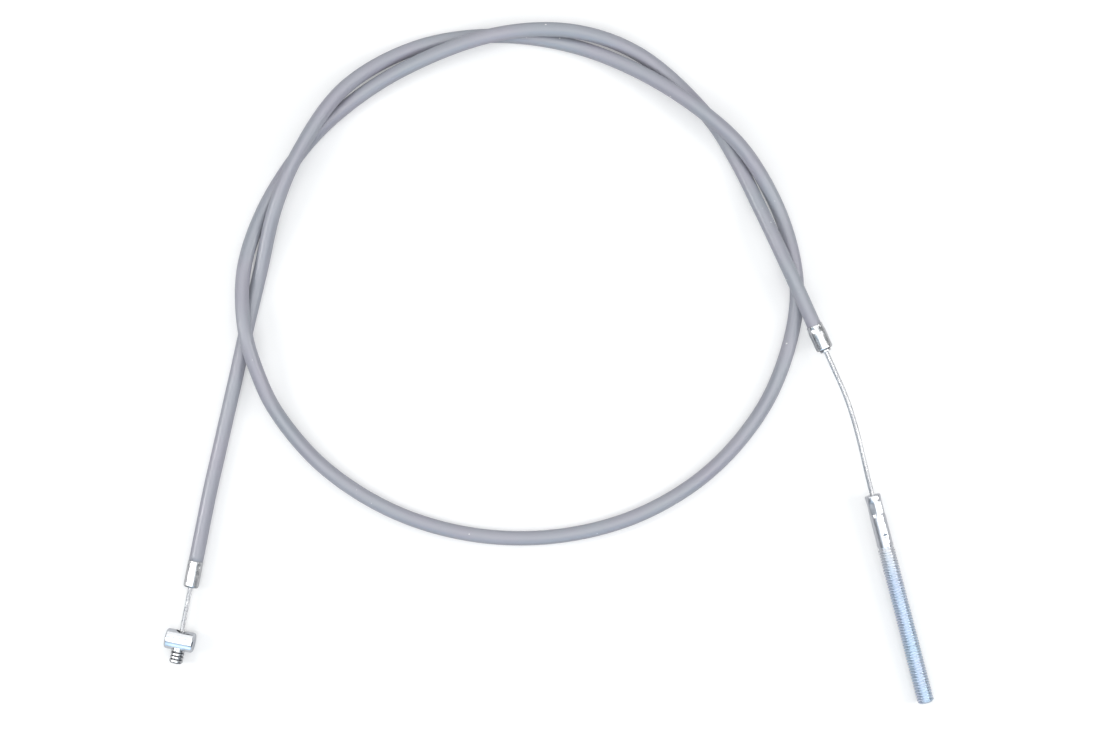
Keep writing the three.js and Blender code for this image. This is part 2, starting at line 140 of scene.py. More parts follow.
# Route of the housing from the lever end to the brake end, in metres. The first and last two
# points are the ends of straight stretches.
LEVER_STRAIGHT = [
    (-0.1254, -0.0781, 0.0033),
    (-0.1194, -0.0475, 0.0027),
]
ROUTE = [
    (-0.1145, -0.0258, 0.0026),
    (-0.1100, -0.0061, 0.0026),
    (-0.1061, 0.0115, 0.0026),
    (-0.1010, 0.0329, 0.0027),
    (-0.0956, 0.0538, 0.0065),
    (-0.0877, 0.0724, 0.0080),
    (-0.0716, 0.0959, 0.0060),
    (-0.0469, 0.1106, 0.0027),
    (-0.0193, 0.1149, 0.0026),
    (0.0076, 0.1115, 0.0027),
    (0.0325, 0.1014, 0.0053),
    (0.0552, 0.0862, 0.0080),
    (0.0688, 0.0730, 0.0069),
    (0.0819, 0.0498, 0.0028),
    (0.0867, 0.0276, 0.0026),
    (0.0845, 0.0084, 0.0026),
    (0.0751, -0.0151, 0.0026),
    (0.0563, -0.0375, 0.0026),
    (0.0314, -0.0529, 0.0026),
    (0.0029, -0.0603, 0.0026),
    (-0.0267, -0.0598, 0.0026),
    (-0.0549, -0.0515, 0.0026),
    (-0.0794, -0.0357, 0.0029),
    (-0.0955, -0.0165, 0.0044),
    (-0.1017, -0.0030, 0.0063),
    (-0.1057, 0.0114, 0.0080),
    (-0.1066, 0.0321, 0.0053),
    (-0.1005, 0.0527, 0.0027),
    (-0.0883, 0.0727, 0.0026),
    (-0.0755, 0.0865, 0.0026),
    (-0.0530, 0.1018, 0.0047),
    (-0.0193, 0.1143, 0.0080),
    (0.0085, 0.1159, 0.0060),
    (0.0319, 0.1081, 0.0028),
    (0.0554, 0.0868, 0.0026),
    (0.0654, 0.0714, 0.0027),
    (0.0734, 0.0546, 0.0054),
]
BRAKE_STRAIGHT = [
    (0.0834, 0.0326, 0.0082),
    (0.0963, 0.0043, 0.0072),
]
ROD_MOUTH = (0.1127, -0.0458, 0.0055)
ROD_HEADING = (19.2, -72.7, -2.35)


# Places

def shift_of_the_whole():
    """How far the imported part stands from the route's own points, from the rod's end face."""
    face = next(m for m in frame["record"]["mounts"] if m["name"] == "rod_end_face")
    heading = Vector(ROD_HEADING).normalized()
    return Vector(face["pos_m"]) - Vector(ROD_MOUTH) - heading * (THREAD_LENGTH + SHANK_LENGTH)


shift = shift_of_the_whole()


def placed(point):
    return Vector(point) + shift


lever_face = placed(LEVER_STRAIGHT[0])
lever_bend = placed(LEVER_STRAIGHT[1])
lever_axis = (lever_face - lever_bend).normalized()
brake_bend = placed(BRAKE_STRAIGHT[0])
brake_face = placed(BRAKE_STRAIGHT[1])
brake_axis = (brake_face - brake_bend).normalized()
rod_mouth = placed(ROD_MOUTH)
rod_axis = Vector(ROD_HEADING).normalized()
barrel_centre = lever_face + lever_axis * (LEVER_FREE_WIRE + BARREL_RADIUS)
stop_seat = BARREL_RADIUS - STOP_SEAT_DEPTH


def hermite(a, b, leaving, arriving, t):
    """A point of the cubic from a to b with the given velocities at its ends."""
    square, cube = t * t, t * t * t
    return (
        a * (2 * cube - 3 * square + 1)
        + b * (3 * square - 2 * cube)
        + leaving * (cube - 2 * square + t)
        + arriving * (cube - square)
    )


def smooth_route(points, steps=16):
    """Centripetal Catmull-Rom curve through the points, from the second to the last but one."""
    route = []
    for a, b, c, d in zip(points, points[1:], points[2:], points[3:]):
        before, along, after = (math.sqrt((q - p).length) for p, q in ((a, b), (b, c), (c, d)))
        leaving = (b - a) / before - (c - a) / (before + along) + (c - b) / along
        arriving = (c - b) / along - (d - b) / (along + after) + (d - c) / after
        for i in range(steps):
            route.append(hermite(b, c, leaving * along, arriving * along, i / steps))
    route.append(points[-2])
    return route


def evenly(points, spacing):
    """The same line with points a given distance apart."""
    line = np.array(points, float)
    far = np.concatenate([[0], np.cumsum(np.linalg.norm(np.diff(line, axis=0), axis=1))])
    steps = np.linspace(0, far[-1], max(2, round(far[-1] / spacing) + 1))
    return np.column_stack([np.interp(steps, far, line[:, k]) for k in range(3)])


def housing_bends():
    """The housing's centreline between its two straight ends."""
    return smooth_route([lever_face, lever_bend, *map(placed, ROUTE), brake_bend, brake_face])


def housing_line(lever_stop, brake_stop):
    """Centreline of a layer that ends those distances short of the faces of the two caps."""
    ends = (lever_face - lever_axis * lever_stop, brake_face - brake_axis * brake_stop)
    return evenly([ends[0], *housing_bends(), ends[1]], HOUSING_SPACING)


# Node trees

class Tree:
    """A few short words for building a node tree in code."""

    def __init__(self, tree):
        self.nodes = tree.nodes
        self.links = tree.links

    def add(self, kind, inputs=(), **settings):
        """A node with its settings, then its inputs by index or name: a socket is linked."""
        node = self.nodes.new(kind)
        for key, value in settings.items():
            setattr(node, key, value)
        for key, value in dict(inputs).items():
            if isinstance(value, bpy.types.NodeSocket):
                self.links.new(value, node.inputs[key])
            else:
                node.inputs[key].default_value = value
        return node

    def math(self, operation, *values):
        node = self.add("ShaderNodeMath", dict(enumerate(values)), operation=operation)
        return node.outputs[0]

    def mixed(self, share, first, second):
        """A colour between two, by a linked share."""
        inputs = {0: share}
        for index, colour in ((6, first), (7, second)):
            linked = isinstance(colour, bpy.types.NodeSocket)
            inputs[index] = colour if linked else (*colour, 1)
        return self.add("ShaderNodeMix", data_type="RGBA", inputs=inputs).outputs[2]


def geometry_tree(name, sockets):
    """An empty modifier tree with named inputs, and its group input node."""
    tree = bpy.data.node_groups.new(name, "GeometryNodeTree")
    tree.is_modifier = True
    tree.interface.new_socket("Geometry", in_out="INPUT", socket_type="NodeSocketGeometry")
    for label, kind in sockets:
        tree.interface.new_socket(label, in_out="INPUT", socket_type=f"NodeSocket{kind}")
    tree.interface.new_socket("Geometry", in_out="OUTPUT", socket_type="NodeSocketGeometry")
    maker = Tree(tree)
    return tree, maker, maker.add("NodeGroupInput").outputs


def finish_tree(maker, geometry, material):
    """Every tree ends alike: smooth, real and with its material."""
    smooth = maker.add("GeometryNodeSetShadeSmooth", {"Geometry": geometry})
    real = maker.add("GeometryNodeRealizeInstances", {"Geometry": smooth.outputs[0]})
    dressed = maker.add(
        "GeometryNodeSetMaterial",
        {"Geometry": real.outputs[0], "Material": material},
    )
    maker.add("NodeGroupOutput", {0: dressed.outputs[0]})


def captured(maker, geometry, value, label):
    """The geometry with a value kept on its points, and that value."""
    node = maker.nodes.new("GeometryNodeCaptureAttribute")
    node.capture_items.new("FLOAT", label)
    maker.links.new(geometry, node.inputs[0])
    maker.links.new(value, node.inputs[1])
    return node.outputs[0], node.outputs[1]


def store_own_place(maker, geometry, across, around, along):
    """Keeps the place on the surface, seen from the piece's own axis, for the materials."""
    angle = maker.math("MULTIPLY", around, 2 * math.pi)
    place = maker.add(
        "ShaderNodeCombineXYZ",
        {
            0: maker.math("MULTIPLY", maker.math("COSINE", angle), across),
            1: maker.math("MULTIPLY", maker.math("SINE", angle), across),
            2: along,
        },
    )
    stored = maker.add(
        "GeometryNodeStoreNamedAttribute",
        {"Geometry": geometry, "Name": "own_place", "Value": place.outputs[0]},
        data_type="FLOAT_VECTOR",
        domain="POINT",
    )
    return stored.outputs[0]


def sleeve_tree():
    """Sweeps a round section along a line. The wall's thickness comes after."""
    sockets = [("Radius", "Float"), ("Sides", "Int"), ("Material", "Material")]
    tree, maker, given = geometry_tree("Sleeve along a line", sockets)
    line = maker.add("GeometryNodeMeshToCurve", {0: given["Geometry"]}).outputs[0]
    spline = maker.add("GeometryNodeSplineParameter").outputs
    line, along = captured(maker, line, spline["Length"], "along")
    circle = maker.add(
        "GeometryNodeCurvePrimitiveCircle",
        {"Resolution": given["Sides"], "Radius": given["Radius"]},
        mode="RADIUS",
    )
    section, around = captured(maker, circle.outputs[0], spline["Factor"], "around")
    swept = maker.add("GeometryNodeCurveToMesh", {"Curve": line, "Profile Curve": section})
    kept = store_own_place(maker, swept.outputs[0], given["Radius"], around, along)
    finish_tree(maker, kept, given["Material"])
    return tree


def strands_tree():
    """Twists round strands about a core along a line, all of one thickness."""
    sockets = [
        ("Wire Radius", "Float"),
        ("Strand Radius", "Float"),
        ("Strands", "Int"),
        ("Lay", "Float"),
        ("Material", "Material"),
    ]
    tree, maker, given = geometry_tree("Twisted strands", sockets)
    line = maker.add("GeometryNodeMeshToCurve", {0: given["Geometry"]}).outputs[0]
    spline = maker.add("GeometryNodeSplineParameter").outputs
    line, along = captured(maker, line, spline["Length"], "along")
    turns = maker.math("DIVIDE", spline["Length"], given["Lay"])
    tilted = maker.add(
        "GeometryNodeSetCurveTilt",
        {"Curve": line, "Tilt": maker.math("MULTIPLY", turns, 2 * math.pi)},
    )
    ring_radius = maker.math("SUBTRACT", given["Wire Radius"], given["Strand Radius"])
    ring = maker.add(
        "GeometryNodeCurvePrimitiveCircle",
        {"Resolution": given["Strands"], "Radius": ring_radius},
        mode="RADIUS",
    )
    ring, around = captured(maker, ring.outputs[0], spline["Factor"], "around")
    strand = maker.add(
        "GeometryNodeCurvePrimitiveCircle",
        {"Resolution": 10, "Radius": given["Strand Radius"]},
        mode="RADIUS",
    )
    strands = maker.add(
        "GeometryNodeInstanceOnPoints",
        {"Points": ring, "Instance": strand.outputs[0]},
    )
    section = maker.add("GeometryNodeRealizeInstances", {"Geometry": strands.outputs[0]})
    outer = maker.add(
        "GeometryNodeCurveToMesh",
        {"Curve": tilted.outputs[0], "Profile Curve": section.outputs[0], "Fill Caps": True},
    )
    core_circle = maker.add(
        "GeometryNodeCurvePrimitiveCircle",
        {"Resolution": 16, "Radius": ring_radius},
        mode="RADIUS",
    )
    core = maker.add(
        "GeometryNodeCurveToMesh",
        {"Curve": line, "Profile Curve": core_circle.outputs[0], "Fill Caps": True},
    )
    joined = maker.add("GeometryNodeJoinGeometry")
    maker.links.new(core.outputs[0], joined.inputs[0])
    maker.links.new(outer.outputs[0], joined.inputs[0])
    kept = store_own_place(maker, joined.outputs[0], given["Wire Radius"], around, along)
    finish_tree(maker, kept, given["Material"])
    return tree


# Pieces

def line_object(name, points):
    """An object whose mesh is one open line through the points."""
    mesh = bpy.data.meshes.new(name)
    count = len(points)
    mesh.from_pydata([tuple(p) for p in points], [(i, i + 1) for i in range(count - 1)], [])
    piece = bpy.data.objects.new(name, mesh)
    bpy.context.scene.collection.objects.link(piece)
    return piece


def add_tree(piece, tree, values):
    """A modifier with the tree, its inputs set by their identifiers."""
    modifier = piece.modifiers.new(tree.name, "NODES")
    modifier.node_group = tree
    for item in tree.interface.items_tree:
        if item.in_out == "INPUT" and item.name in values:
            modifier[item.identifier] = values[item.name]
    return modifier


def settle(piece):
    """Turns what the modifiers make into the piece's plain mesh."""
    depsgraph = bpy.context.evaluated_depsgraph_get()
    mesh = bpy.data.meshes.new_from_object(
        piece.evaluated_get(depsgraph), preserve_all_data_layers=True, depsgraph=depsgraph
    )
    piece.modifiers.clear()
    piece.data = mesh
    mesh.name = piece.name
    return piece


def belongs(piece, body, node):
    """The body that the piece moves with, and the solid it stands for, which it hides."""
    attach(piece, body)
    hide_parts(node)
    return piece


def sleeve(name, line, radii, sides, material):
    """A tube along a line, with its true bore and flat ends."""
    bore, radius = radii
    piece = line_object(name, line)
    add_tree(piece, SLEEVE, {"Radius": radius, "Sides": sides, "Material": material})
    wall = piece.modifiers.new("Wall", "SOLIDIFY")
    wall.thickness = radius - bore
    wall.offset = -1
    wall.use_even_offset = True
    return settle(piece)


def stranded(name, line, material):
    """A wire of round strands laid about a core."""
    touching = math.sin(math.pi / OUTER_STRANDS)
    piece = line_object(name, line)
    values = {
        "Wire Radius": WIRE_RADIUS,
        "Strand Radius": WIRE_RADIUS * touching / (1 + touching),
        "Strands": OUTER_STRANDS,
        "Lay": STRAND_LAY,
        "Material": material,
    }
    add_tree(piece, STRANDS, values)
    return settle(piece)


def filleted(corners, steps=4):
    """A profile of (radius, height, fillet) corners, with an arc at each that has a fillet."""
    points = []
    count = len(corners)
    for i, (radius, height, fillet) in enumerate(corners):
        here = Vector((radius, height))
        if not fillet:
            points.append(here)
            continue
        back = (Vector(corners[i - 1][:2]) - here).normalized()
        on = (Vector(corners[(i + 1) % count][:2]) - here).normalized()
        half = back.angle(on) / 2
        centre = here + (back + on).normalized() * (fillet / math.sin(half))
        start = here + back * (fillet / math.tan(half)) - centre
        end = here + on * (fillet / math.tan(half)) - centre
        for k in range(steps + 1):
            points.append(centre + start.slerp(end, k / steps) * fillet)
    return [(p.x, p.y) for p in points]


def stepped(profile, step, closed=True):
    """The profile with more points on its long straight stretches."""
    points = []
    following = profile[1:] + profile[:1] if closed else profile[1:]
    for a, b in zip(profile, following):
        count = max(1, math.ceil(math.dist(a, b) / step))
        for i in range(count):
            points.append((a[0] + (b[0] - a[0]) * i / count, a[1] + (b[1] - a[1]) * i / count))
    if not closed:
        points.append(profile[-1])
    return points


def revolve(profile, sides, dented=None):
    """Turns a profile about Z. It closes on itself, or starts and ends on the axis."""
    turned = bmesh.new()
    rows = []
    for radius, height in profile:
        if radius < 1e-9:
            rows.append([turned.verts.new((0, 0, height))] * sides)
            continue
        row = []
        for k in range(sides):
            angle = 2 * math.pi * k / sides
            reach = dented(radius, height, angle) if dented else radius
            corner = (reach * math.cos(angle), reach * math.sin(angle), height)
            row.append(turned.verts.new(corner))
        rows.append(row)
    following = rows[1:] + rows[:1] if profile[0][0] > 1e-9 else rows[1:]
    for lower, upper in zip(rows, following):
        for k in range(sides):
            after = (k + 1) % sides
            corners = [lower[k], lower[after], upper[after], upper[k]]
            face = list(dict.fromkeys(corners))
            if len(face) > 2:
                turned.faces.new(face)
    bmesh.ops.recalc_face_normals(turned, faces=turned.faces)
    mesh = bpy.data.meshes.new("turned")
    turned.to_mesh(mesh)
    turned.free()
    return mesh


def standing(point, axis, across=UP):
    """The placement that puts a piece's own Z on the axis, and its own X nearest to across."""
    side = (across - axis * across.dot(axis)).normalized()
    return Matrix.Translation(point) @ Matrix((side, axis.cross(side), axis)).transposed().to_4x4()


def made(name, mesh, place, material, smooth_below=35):
    """An object of a mesh that is drawn on its own axis and then put in its place."""
    mesh.name = name
    own = np.zeros(len(mesh.vertices) * 3, np.float32)
    mesh.vertices.foreach_get("co", own)
    mesh.attributes.new("own_place", "FLOAT_VECTOR", "POINT").data.foreach_set("vector", own)
    mesh.transform(place)
    mesh.materials.clear()
    mesh.materials.append(material)
    mesh.polygons.foreach_set("use_smooth", [True] * len(mesh.polygons))
    mesh.set_sharp_from_angle(angle=math.radians(smooth_below))
    piece = bpy.data.objects.new(name, mesh)
    bpy.context.scene.collection.objects.link(piece)
    return piece


def pressed(value, middle, half_width):
    """1 at the middle of a press mark, falling smoothly to 0 at its edge."""
    away = min(1, abs(value - middle) / half_width)
    return 0.5 + 0.5 * math.cos(math.pi * away)


def angle_from(angle, other):
    """The smaller angle between two directions round an axis."""
    return abs((angle - other + math.pi) % (2 * math.pi) - math.pi)


def dent_depth(dents, round_it, height, angle):
    """Depth of the press marks at a place: each row has the same number of them round the cap."""
    depth = 0
    for i in range(round_it):
        off = angle_from(angle, (2 * i + 1) * math.pi / round_it)
        for deep, half_angle, middle, half_length in dents:
            depth += deep * pressed(off, 0, half_angle) * pressed(height, middle, half_length)
    return depth


# Finishes

class Finish(Tree):
    """A material under construction, its patterns laid on the piece's own place."""

    def __init__(self, name):
        self.material = bpy.data.materials.new(name)
        self.material.use_nodes = True
        super().__init__(self.material.node_tree)
        self.shader = self.nodes["Principled BSDF"]
        self.place = self.add("ShaderNodeAttribute", attribute_name="own_place").outputs["Vector"]

    def noise(self, scale, stretch=(1, 1, 1), detail=3, roughness=0.5):
        """Noise with its features 1 / scale apart, in metres, longer where stretch is less."""
        laid = self.add("ShaderNodeMapping", {"Vector": self.place, "Scale": stretch})
        pattern = self.add(
            "ShaderNodeTexNoise",
            {"Vector": laid.outputs[0], "Scale": scale, "Detail": detail, "Roughness": roughness},
        )
        return pattern.outputs["Fac"]

    def spread(self, value, low, high, to_low=0.0, to_high=1.0):
        """The value's range from low to high laid out from to_low to to_high, and held there."""
        node = self.add(
            "ShaderNodeMapRange",
            {0: value, 1: low, 2: high, 3: to_low, 4: to_high},
            clamp=True,
            interpolation_type="SMOOTHSTEP",
        )
        return node.outputs[0]

    def out_from_axis(self):
        """Distance from the piece's own axis, in metres."""
        inputs = {0: self.place, 1: (1, 1, 0)}
        flat = self.add("ShaderNodeVectorMath", inputs, operation="MULTIPLY")
        far = self.add("ShaderNodeVectorMath", {0: flat.outputs[0]}, operation="LENGTH")
        return far.outputs["Value"]

    def bump(self, height, depth, strength=1.0, under=None):
        """Fine relief of a real depth in metres, over another relief if there is one."""
        inputs = {"Height": height, "Distance": depth, "Strength": strength}
        if under is not None:
            inputs["Normal"] = under
        return self.add("ShaderNodeBump", inputs).outputs[0]

    def set(self, **values):
        """The shader's own sockets: underscores stand for spaces."""
        for key, value in values.items():
            socket = self.shader.inputs[key.replace("_", " ")]
            if isinstance(value, bpy.types.NodeSocket):
                self.links.new(value, socket)
            else:
                socket.default_value = (*value, 1) if isinstance(value, tuple) else value
        return self.material


PAINTED_SHADE = (0.16, 0.16, 0.17)  # painted shade, for the grooves of the stop and a line across each cap
PALE_NICKEL = (0.92, 0.92, 0.91)
DULL_NICKEL = (0.72, 0.72, 0.71)


def grey_plastic():
    """Extruded housing plastic: satin, bluish grey, with handling marks and faint draw lines."""
    finish = Finish("grey_plastic")
    clouds = finish.noise(38, detail=2)
    patches = finish.noise(190, (1, 1, 0.35), detail=4)
    draw_lines = finish.noise(2600, (1, 1, 0.02), detail=2)
    grain = finish.noise(5200, detail=2)
    specks = finish.spread(finish.noise(620, detail=1), 0.79, 0.82)
    lilac, bluish = (0.328, 0.32, 0.372), (0.315, 0.335, 0.372)
    tone = finish.mixed(finish.spread(clouds, 0.35, 0.65), lilac, bluish)
    worn = finish.mixed(finish.spread(patches, 0.35, 0.8, 0, 0.35), tone, (0.40, 0.395, 0.43))
    colour = finish.mixed(specks, worn, (0.75, 0.75, 0.72))
    gloss = finish.spread(patches, 0.3, 0.7, 0.34, 0.45)
    relief = finish.bump(draw_lines, 0.012 * MM, 0.5)
    relief = finish.bump(grain, 0.006 * MM, 0.5, relief)
    return finish.set(
        Base_Color=colour, Roughness=gloss, Normal=relief, IOR=1.6, Specular_IOR_Level=0.95
    )


def plated(name, pale, dull, rough, turned_lines=0.0, scratch=1.0, groove=None, shade_line=None):
    """Plated metal: two tones in streaks, turning marks round it and fine scratches along it.

    It has painted shade below the groove's radius, and a band of painted shade round a
    height, given with half the band's width.
    """
    finish = Finish(name)
    streaks = finish.noise(520, (1, 1, 0.25), detail=4)
    scratches = finish.noise(5200, (1, 1, 0.06), detail=3, roughness=0.65)
    rings = finish.noise(2400, (0.02, 0.02, 2.2), detail=3)
    colour = finish.mixed(finish.spread(streaks, 0.35, 0.7), pale, dull)
    # Painted shade: darker below the groove's radius, in the grooves between ribs.
    if groove:
        reach = finish.out_from_axis()
        colour = finish.mixed(finish.spread(reach, groove - 0.1 * MM, groove), PAINTED_SHADE, colour)
    # Painted shade line: a dark band round one height of the piece.
    if shade_line:
        height = finish.add("ShaderNodeSeparateXYZ", {0: finish.place}).outputs[2]
        away = finish.math("ABSOLUTE", finish.math("SUBTRACT", height, shade_line[0]))
        colour = finish.mixed(finish.spread(away, 0.4 * shade_line[1], shade_line[1]), PAINTED_SHADE, colour)
    gloss = finish.spread(scratches, 0.35, 0.75, rough - 0.06, rough + 0.12)
    relief = finish.bump(scratches, 0.006 * MM, 0.35 * scratch)
    if turned_lines:
        relief = finish.bump(rings, 0.008 * MM, turned_lines, relief)
    return finish.set(Base_Color=colour, Metallic=1.0, Roughness=gloss, Normal=relief)


def blue_zinc():
    """Bluish zinc plate of the rod, silver on the shank, with faint lilac and green clouds, and
    painted shade in the thread's roots.
    """
    finish = Finish("blue_zinc")
    height = finish.add("ShaderNodeSeparateXYZ", {0: finish.place}).outputs[2]
    tint = finish.noise(130, (1, 1, 0.6), detail=2)
    clouds = finish.noise(900, detail=4)
    blue = finish.mixed(finish.spread(tint, 0.3, 0.7), (0.77, 0.89, 0.99), (0.84, 0.87, 0.98))
    green = finish.mixed(finish.spread(clouds, 0.55, 0.75, 0, 0.35), blue, (0.74, 0.88, 0.88))
    along = finish.spread(height, THREAD_LENGTH - 14 * MM, THREAD_LENGTH)
    # Painted shade: the thread darkens towards its roots.
    out_of_root_shade = finish.spread(finish.out_from_axis(), ROOT_RADIUS, 2.62 * MM)
    thread_with_root_shade = finish.mixed(out_of_root_shade, (0.60, 0.68, 0.76), green)
    colour = finish.mixed(along, thread_with_root_shade, (0.84, 0.85, 0.87))
    gloss = finish.spread(clouds, 0.3, 0.7, 0.28, 0.38)
    relief = finish.bump(finish.noise(6000, detail=3), 0.005 * MM, 0.4)
    return finish.set(Base_Color=colour, Metallic=1.0, Roughness=gloss, Normal=relief)


def liner_plastic():
    """Natural slippery plastic of the liner inside the housing."""
    finish = Finish("liner_plastic")
    cloudy = finish.spread(finish.noise(300), 0.3, 0.7)
    colour = finish.mixed(cloudy, (0.80, 0.80, 0.76), (0.74, 0.75, 0.72))
    return finish.set(Base_Color=colour, Roughness=0.4)


# Camera

def add_camera():
    data = bpy.data.cameras.new("camera")
    data.sensor_width = SENSOR_WIDTH
    data.lens = FOCAL_PIXELS * SENSOR_WIDTH / PHOTO_WIDTH
    camera = bpy.data.objects.new("camera", data)
    camera.location = CAMERA_PLACE
    bpy.context.scene.collection.objects.link(camera)
    bpy.context.scene.camera = camera


# Housing

def housing(plastic, steel, liner):
    sheath_line = housing_line(LEVER_CAP_LENGTH, END_WALL)
    sheath = sleeve("housing_sheath", sheath_line, SHEATH, 40, plastic)
    belongs(sheath, "housing", "outer_sheath")
    inner_line = housing_line(END_WALL + SEAT_GAP, END_WALL + SEAT_GAP)
    conduit = sleeve("housing_conduit", inner_line, CONDUIT, 20, steel)
    belongs(conduit, "housing", "wound_conduit")
    lining = sleeve("housing_liner", inner_line, LINER, 16, liner)
    belongs(lining, "housing", "inner_liner")
    return sheath, sheath_line


def housed_wire(steel):
    """The stretch of wire in the bends, between the two runs that slide."""
    line = evenly(housing_bends(), HOUSING_SPACING)
    wire = sleeve("inner_wire_middle", line, (0.1 * MM, WIRE_RADIUS), 12, steel)
    belongs(wire, "housing", "inner_wire_housed")


# Caps

def lever_cap(plate):
    """Drawn cap pressed on the bare conduit, marked by the jaws near its mouth."""
    length, radius, bore = LEVER_CAP_LENGTH, LEVER_CAP_RADIUS, LEVER_CAP_BORE
    profile = filleted([
        (bore, 0, 0),
        (radius, 0, 0.18 * MM),
        (radius, length, 0.75 * MM),
        (HOLE_RADIUS, length, 0.15 * MM),
        (HOLE_RADIUS, length - END_WALL, 0),
        (bore, length - END_WALL, 0),
    ])

    def dented(reach, height, angle):
        if reach < radius - 0.1 * MM:
            return reach
        return reach - dent_depth(LEVER_CAP_DENTS, LEVER_CAP_DENTS_ROUND, height, angle)

    mesh = revolve(stepped(profile, CAP_STEP), CAP_SIDES, dented)
    place = standing(lever_face - lever_axis * length, lever_axis)
    cap = made("lever_cap", mesh, place, plate)
    return belongs(cap, "housing", "lever_ferrule")


def brake_cap(plate):
    """Drawn cap pressed over the sheath: a rolled mouth, long press marks and a short nose."""
    length, radius, bore = BRAKE_CAP_LENGTH, BRAKE_CAP_RADIUS, BRAKE_CAP_BORE
    mouth, nose = BRAKE_CAP_MOUTH_RADIUS, BRAKE_CAP_NOSE_RADIUS
    shoulder = length - BRAKE_CAP_NOSE_LENGTH
    profile = filleted([
        (bore, 0, 0),
        (mouth, 0, 0.1 * MM),
        (mouth, BRAKE_CAP_MOUTH_END, 0.3 * MM),
        (radius, BRAKE_CAP_FULL_FROM, 0.8 * MM),
        (radius, shoulder, 0.6 * MM),
        (nose, shoulder - 0.12 * MM, 0.06 * MM),
        (nose, length, 0.25 * MM),
        (HOLE_RADIUS, length, 0.12 * MM),
        (HOLE_RADIUS, length - END_WALL, 0),
        (bore, length - END_WALL, 0),
    ])

    def dented(reach, height, angle):
        if reach < mouth - 0.15 * MM:
            return reach
        return reach - dent_depth(BRAKE_CAP_DENTS, BRAKE_CAP_DENTS_ROUND, height, angle)

    mesh = revolve(stepped(profile, CAP_STEP), CAP_SIDES, dented)
    place = standing(brake_face - brake_axis * length, brake_axis)
    cap = made("brake_cap", mesh, place, plate)
    return belongs(cap, "housing", "brake_ferrule")


# Wire

def lever_wire(steel):
    """The short run from the lever cap into the stop."""
    inside = lever_face - lever_axis * (LEVER_STROKE + LEAST_ENGAGEMENT)
    reach = stop_seat + STOP_LENGTH - STOP_END_WALL - SEAT_GAP
    line = evenly([inside, barrel_centre + lever_axis * reach], WIRE_SPACING)
    wire = stranded("lever_wire", line, steel)
    return belongs(wire, "lever_end", "inner_wire_lever_run")


def brake_wire_line():
    """Straight out of the brake cap, then in one soft bend into the rod."""
    inside = brake_face - brake_axis * (LEVER_RETURN + LEAST_ENGAGEMENT)
    bend = brake_face + brake_axis * (LEVER_STROKE + BORE_SPARE)
    velocity = (rod_mouth - bend).length
    curve = [
        hermite(bend, rod_mouth, brake_axis * velocity, rod_axis * velocity, i / 60)
        for i in range(61)
    ]
    seated = rod_mouth + rod_axis * (SHANK_BORE_DEPTH - SEAT_GAP)
    return evenly([inside, *curve, seated], WIRE_SPACING)


def brake_wire(line, steel):
    wire = stranded("brake_wire", line, steel)
    return belongs(wire, "brake_end", "inner_wire_brake_run")


# Barrel nipple and stop

def cutter(name, radius, start, end):
    """A round bar along Z that is only used to cut with."""
    mesh = revolve([(0, start), (radius, start), (radius, end), (0, end)], 72)
    bar = bpy.data.objects.new(name, mesh)
    bpy.context.scene.collection.objects.link(bar)
    return bar


def barrel(plate):
    """Turned barrel, drilled across for the wire and wider for the stop, with broken edges."""
    half = BARREL_LENGTH / 2
    chamfer = BARREL_CHAMFER
    profile = filleted([
        (0, -half, 0),
        (BARREL_RADIUS - chamfer, -half, 0.12 * MM),
        (BARREL_RADIUS, -half + chamfer, 0.2 * MM),
        (BARREL_RADIUS, half - chamfer, 0.2 * MM),
        (BARREL_RADIUS - chamfer, half, 0.12 * MM),
        (0, half, 0),
    ])
    mesh = revolve(profile, 120)
    # The barrel's own length lies across the wire, which its holes follow along Z.
    mesh.transform(Matrix.Rotation(math.pi / 2, 4, "X"))
    block = bpy.data.objects.new("barrel", mesh)
    bpy.context.scene.collection.objects.link(block)
    reach = BARREL_RADIUS + 1 * MM
    bars = [
        cutter("wire_hole", BARREL_WIRE_HOLE_RADIUS, -reach, reach),
        cutter("stop_seat", STOP_SEAT_RADIUS, stop_seat - SEAT_GAP, reach),
    ]
    for bar in bars:
        drill = block.modifiers.new(bar.name, "BOOLEAN")
        drill.operation = "DIFFERENCE"
        drill.solver = "EXACT"
        drill.object = bar
    edges = block.modifiers.new("Broken edges", "BEVEL")
    edges.width = BARREL_BROKEN_EDGE
    edges.segments = 2
    edges.limit_method = "ANGLE"
    edges.angle_limit = math.radians(40)
    settle(block)
    drilled = block.data
    for used in (block, *bars):
        bpy.data.objects.remove(used)
    place = standing(barrel_centre, lever_axis)
    nipple = made("barrel", drilled, place, plate, 30)
    return belongs(nipple, "lever_end", "barrel_nipple")


def wire_stop(plate):
    """Ribbed stop that is pressed on the wire and seats in the barrel."""
    bore, radius, chamfer = STOP_BORE_RADIUS, STOP_RADIUS, STOP_CHAMFER
    groove = radius - STOP_RIB_DEPTH
    corners = [(bore, 0, 0), (radius, 0, 0.1 * MM)]
    ribs_end = STOP_LENGTH - chamfer
    for i in reversed(range(STOP_RIBS)):
        top = ribs_end - i * STOP_RIB_PITCH
        corners.append((radius, top - STOP_RIB_PITCH, 0.05 * MM))
        corners.append((groove, top - 0.75 * STOP_RIB_PITCH, 0.08 * MM))
        corners.append((radius, top - 0.5 * STOP_RIB_PITCH, 0.05 * MM))
    corners.append((radius, ribs_end, 0.1 * MM))
    corners.append((radius - chamfer, STOP_LENGTH, 0.12 * MM))
    corners.append((0, STOP_LENGTH, 0))
    profile = filleted(corners)
    profile.append((0, STOP_LENGTH - STOP_END_WALL))
    profile.append((bore, STOP_LENGTH - STOP_END_WALL))
    mesh = revolve(profile, 72)
    stop = made("stop", mesh, standing(barrel_centre + lever_axis * stop_seat, lever_axis), plate)
    return belongs(stop, "lever_end", "wire_stop")


# Threaded rod

